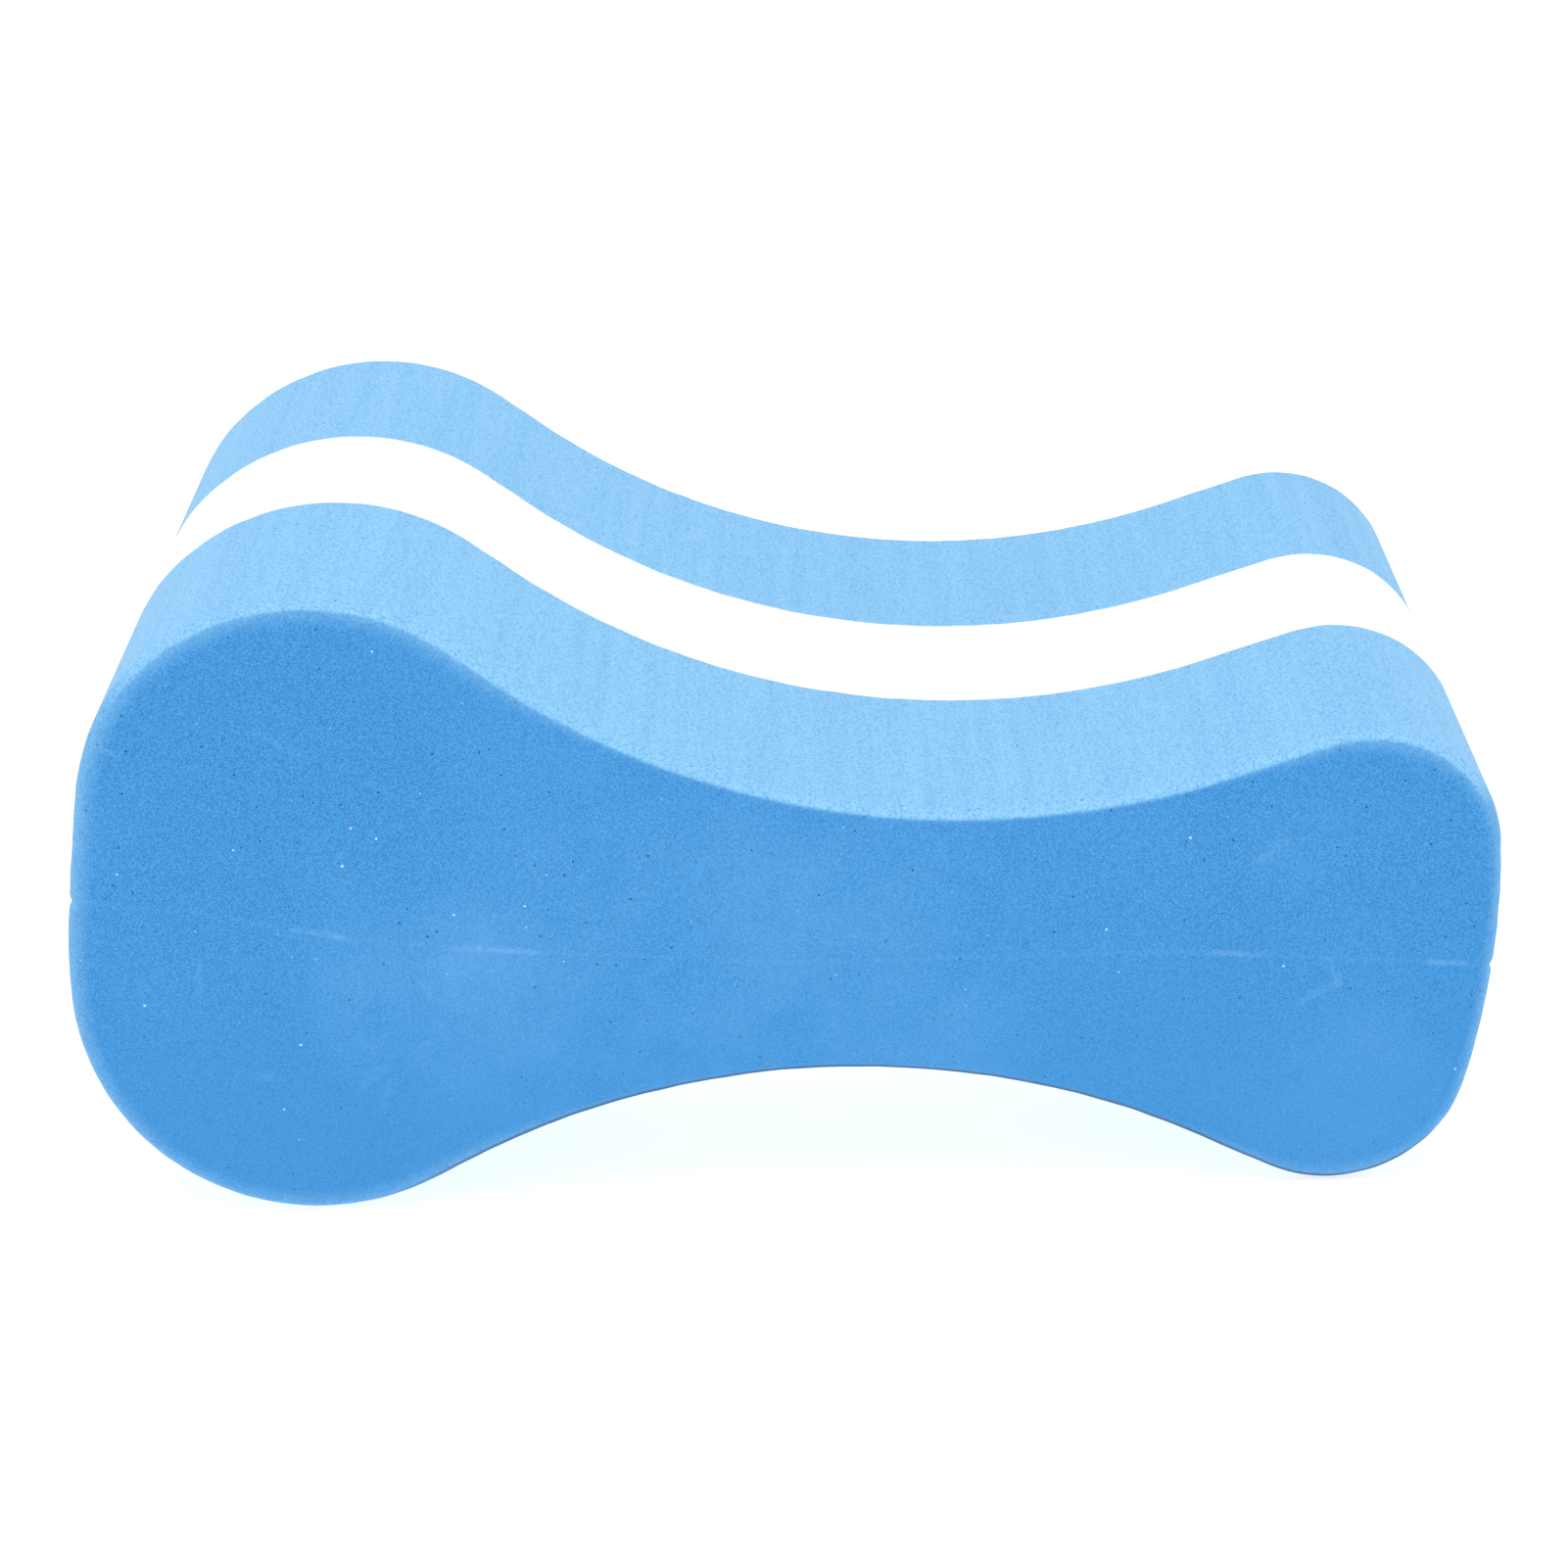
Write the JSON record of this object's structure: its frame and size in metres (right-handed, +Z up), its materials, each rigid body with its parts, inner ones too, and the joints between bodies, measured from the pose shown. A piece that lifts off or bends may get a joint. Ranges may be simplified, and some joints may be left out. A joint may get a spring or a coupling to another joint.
{
  "type": "pull buoy",
  "caption": "Figure-eight leg float of bonded blue and white closed-cell foam slabs, with a large lobe, a narrow waist that the thighs grip and a small lobe.",
  "frame": {"origin": "on the floor under the middle of the bounding box, with the float standing on both lobes", "axes": "+X along the float from the large lobe to the small one, +Y from the front face to the rear face, +Z up"},
  "size_m": [0.2306, 0.1276, 0.1084],
  "materials": {
    "blue_foam": "matte closed-cell foam, darker on the flat skin and paler on the wire-cut outline",
    "white_foam": "matte closed-cell foam, wire-cut",
    "adhesive": "thin cured contact adhesive"
  },
  "bodies": {
    "root": {"front_blue_block": "blue_foam", "front_adhesive_film": "adhesive", "white_center_layer": "white_foam", "rear_adhesive_film": "adhesive", "rear_blue_block": "blue_foam"}
  },
  "joints": []
}
